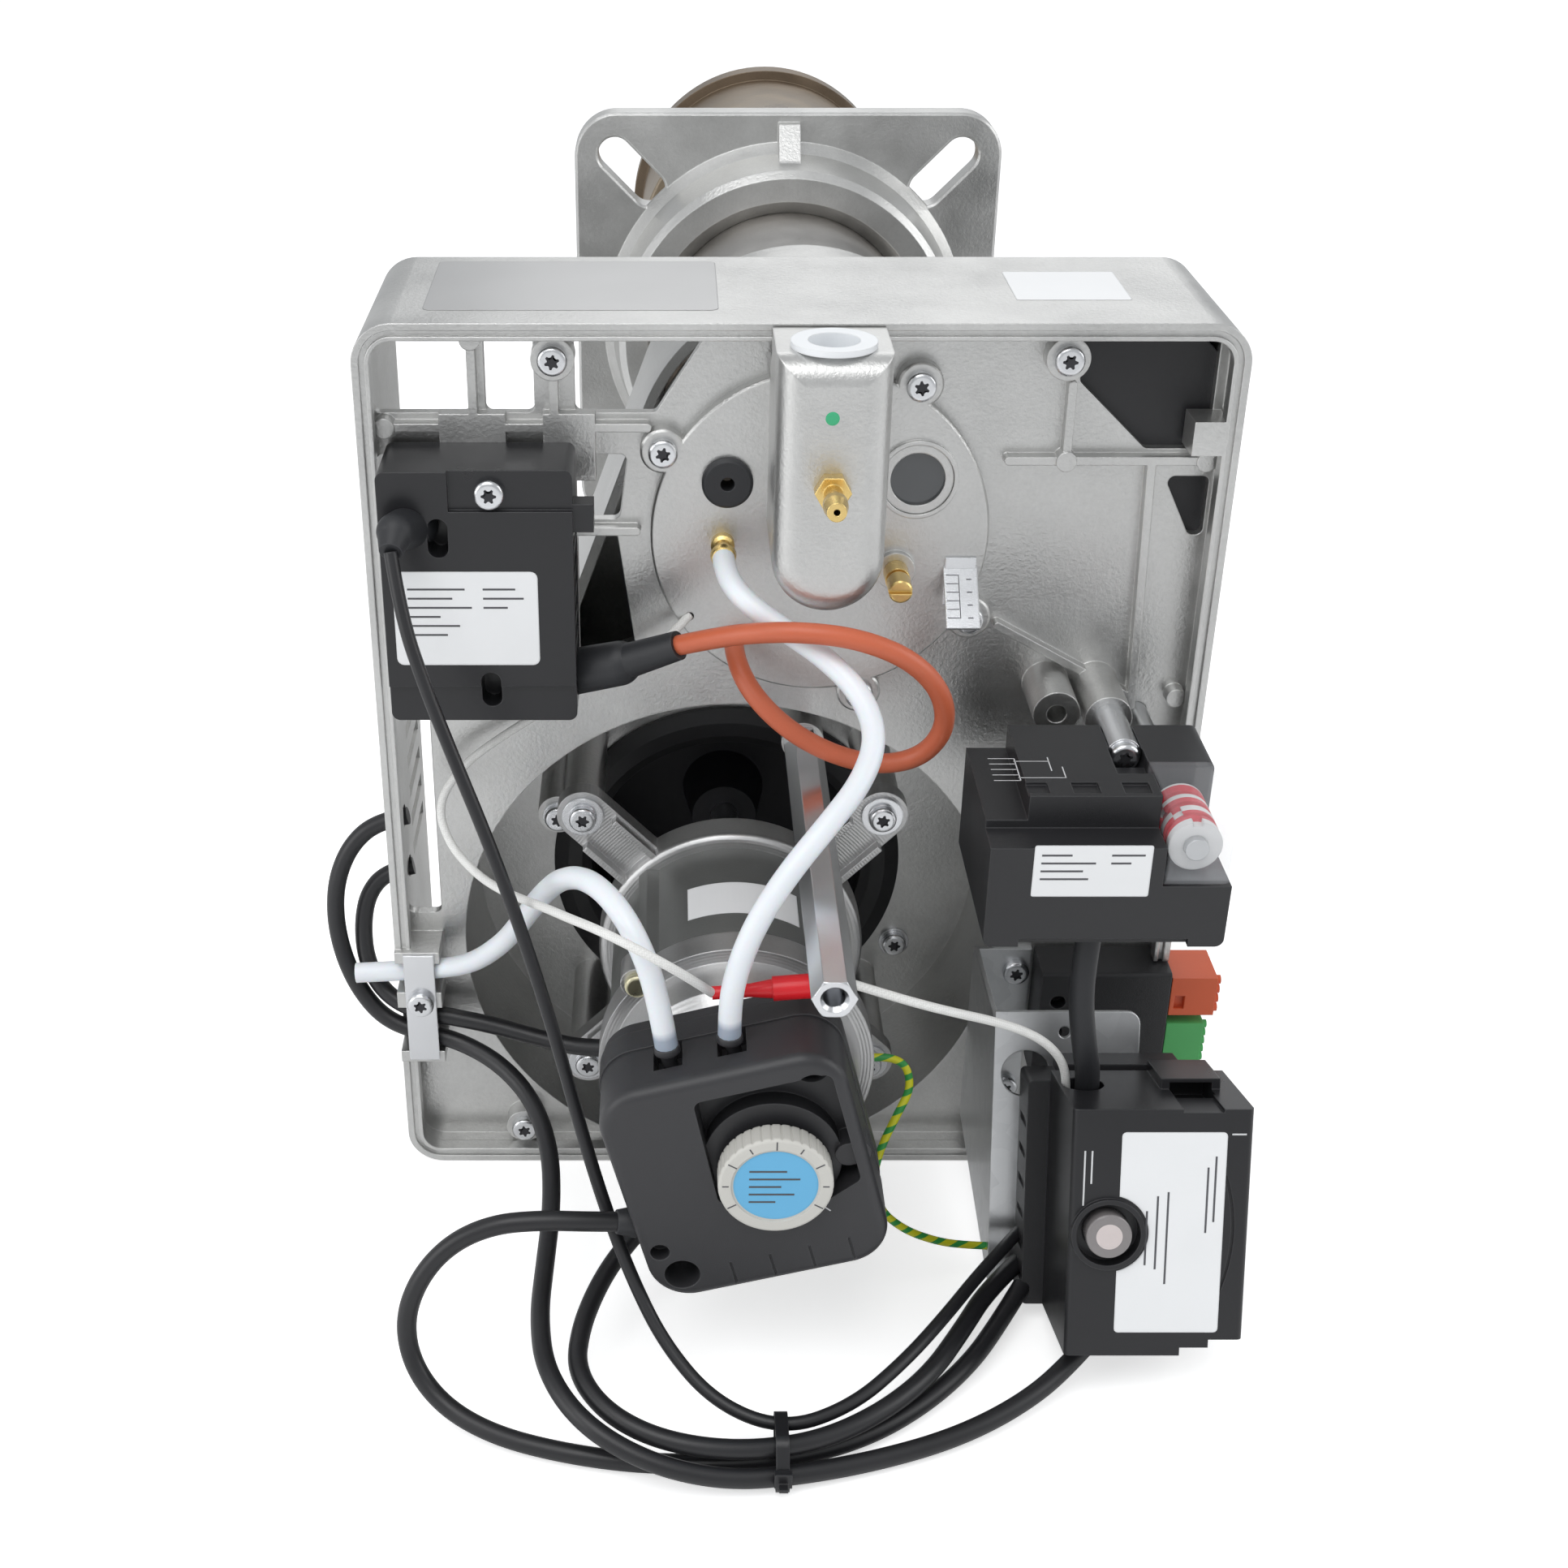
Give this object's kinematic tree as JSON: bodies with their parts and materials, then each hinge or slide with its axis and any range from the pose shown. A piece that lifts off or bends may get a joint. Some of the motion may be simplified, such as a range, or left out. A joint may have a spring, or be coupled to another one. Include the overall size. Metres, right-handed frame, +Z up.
{
  "type": "industrial gas burner",
  "caption": "Monobloc gas burner with its cover off: cast body, fan and motor, gas block, ignition transformer, damper servomotor, pressure switch, control unit and blast tube with flange",
  "frame": {"origin": "middle of the cast body's flat underside", "axes": "+Z up, +Y the firing direction through the blast tube, +X to the right seen from the open service side"},
  "size_m": [0.3512, 0.7225, 0.3675],
  "materials": {
    "cast_aluminium": "raw die-cast aluminium, fine sand texture",
    "turned_aluminium": "machined aluminium",
    "zinc_steel": "bright zinc plate",
    "galvanised_sheet": "galvanised sheet with spangle",
    "lamination_steel": "painted motor body",
    "shaft_steel": "ground steel",
    "tube_steel": "steel tube, slightly heat tinted at the mouth",
    "fan_steel": "black coated sheet",
    "brass": "turned brass",
    "black_plastic": "black moulded plastic",
    "black_rubber": "black rubber",
    "black_cable": "black cable sheath",
    "silicone_red": "brick red silicone",
    "silicone_clear": "milky translucent silicone",
    "glass_braid": "white braided sleeve",
    "red_nylon": "red nylon",
    "earth_green": "yellow and green sheath",
    "white_plastic": "white moulded plastic",
    "ivory_plastic": "light grey plastic with a blue face",
    "red_cams": "red plastic cams",
    "damper_sheet": "steel",
    "clear_plastic": "clear polycarbonate",
    "button_plastic": "smoky clear button",
    "orange_plastic": "orange plastic",
    "green_plastic": "green plastic",
    "ceramic": "white glazed ceramic"
  },
  "bodies": {
    "burner": {"air_box": "black_plastic", "air_hose": "silicone_clear", "air_tap": "brass", "blast_tube": "tube_steel", "body": "cast_aluminium", "cable_tie": "black_plastic", "casing_screws": "zinc_steel", "clamp_strap": "zinc_steel", "closing_disk": "cast_aluminium", "connector_housing": "black_plastic", "control_base": "black_plastic", "control_bracket": "galvanised_sheet", "control_housing": "black_plastic", "earth_wire": "earth_green", "fan_casing": "cast_aluminium", "fixing_screws": "zinc_steel", "gas_block": "cast_aluminium", "grommet": "black_rubber", "hex_standoff": "zinc_steel", "ignition_cable": "silicone_red", "inlet_ring": "black_plastic", "inner_loop": "black_cable", "lead_connectors": "red_nylon", "motor_cable": "black_cable", "motor_end_shield": "turned_aluminium", "motor_flange": "turned_aluminium", "motor_stator": "lamination_steel", "probe_lead": "glass_braid", "probe_lead_tail": "glass_braid", "scale_plate": "zinc_steel", "servo_cable": "black_cable", "servo_housing": "black_plastic", "shield_cable": "black_cable", "sight_glass": "clear_plastic", "switch_base": "black_plastic", "switch_cable": "black_cable", "switch_cover": "black_plastic", "test_nipple": "brass", "tie_rods": "zinc_steel", "transformer": "black_plastic", "transformer_boots": "black_rubber", "transformer_cable": "black_cable", "vent_hose": "silicone_clear", "washer_screws": "zinc_steel"},
    "rotor": {"motor_shaft": "shaft_steel", "impeller": "fan_steel"},
    "damper_set": {"damper": "damper_sheet", "cam_drum": "red_cams"},
    "dial": {"setpoint_dial": "ivory_plastic"},
    "reset": {"reset_button": "button_plastic"},
    "head": {"gas_tube": "shaft_steel", "diffuser": "shaft_steel", "electrodes": "ceramic"},
    "adjuster": {"head_screw": "brass"},
    "plug_7": {"plug_seven": "green_plastic"},
    "plug_4": {"plug_four": "orange_plastic"},
    "gas_plug": {"port_plug": "white_plastic"},
    "clear_cover": {"servo_cover": "clear_plastic"},
    "boiler_flange": {"mounting_flange": "cast_aluminium", "flange_screw": "zinc_steel"}
  },
  "joints": [
    {"name": "rotor_spin", "type": "hinge", "parent": "burner", "child": "rotor", "pos_m": [-0.02, -0.0445, 0.098], "axis": [0, 1, 0], "continuous": true},
    {"name": "damper_turn", "type": "hinge", "parent": "burner", "child": "damper_set", "pos_m": [0.13, -0.0445, 0.2], "axis": [0, 1, 0], "range_deg": [0, 90]},
    {"name": "dial_turn", "type": "hinge", "parent": "burner", "child": "dial", "pos_m": [-0.00865, -0.1745, 0.09705], "axis": [0, 1, 0], "range_deg": [-90, 180]},
    {"name": "reset_press", "type": "slide", "parent": "burner", "child": "reset", "axis": [0, 0.9511, -0.309], "range_m": [0, 0.0025], "stiffness_N_per_m": 800},
    {"name": "head_slide", "type": "slide", "parent": "burner", "child": "head", "axis": [0, 1, 0], "range_m": [0, 0.034]},
    {"name": "adjuster_turn", "type": "hinge", "parent": "burner", "child": "adjuster", "pos_m": [0.0363, -0.0445, 0.2595], "axis": [0, -1, 0], "range_deg": [0, 3060]},
    {"name": "plug_7_pull", "type": "slide", "parent": "burner", "child": "plug_7", "axis": [1, 0, 0], "range_m": [0, 0.022]},
    {"name": "plug_4_pull", "type": "slide", "parent": "burner", "child": "plug_4", "axis": [1, 0, 0], "range_m": [0, 0.022]},
    {"name": "gas_plug_lift", "type": "slide", "parent": "burner", "child": "gas_plug", "axis": [0, 0, 1], "range_m": [0, 0.012]},
    {"name": "clear_cover_pull", "type": "slide", "parent": "burner", "child": "clear_cover", "axis": [0, -1, 0], "range_m": [0, 0.03]},
    {"name": "flange_slide", "type": "slide", "parent": "burner", "child": "boiler_flange", "axis": [0, 1, 0], "range_m": [-0.02, 0.11]}
  ],
  "couplings": [
    {"joint": "adjuster_turn", "follows": "head_slide", "rad_per_m": 1570.8}
  ]
}
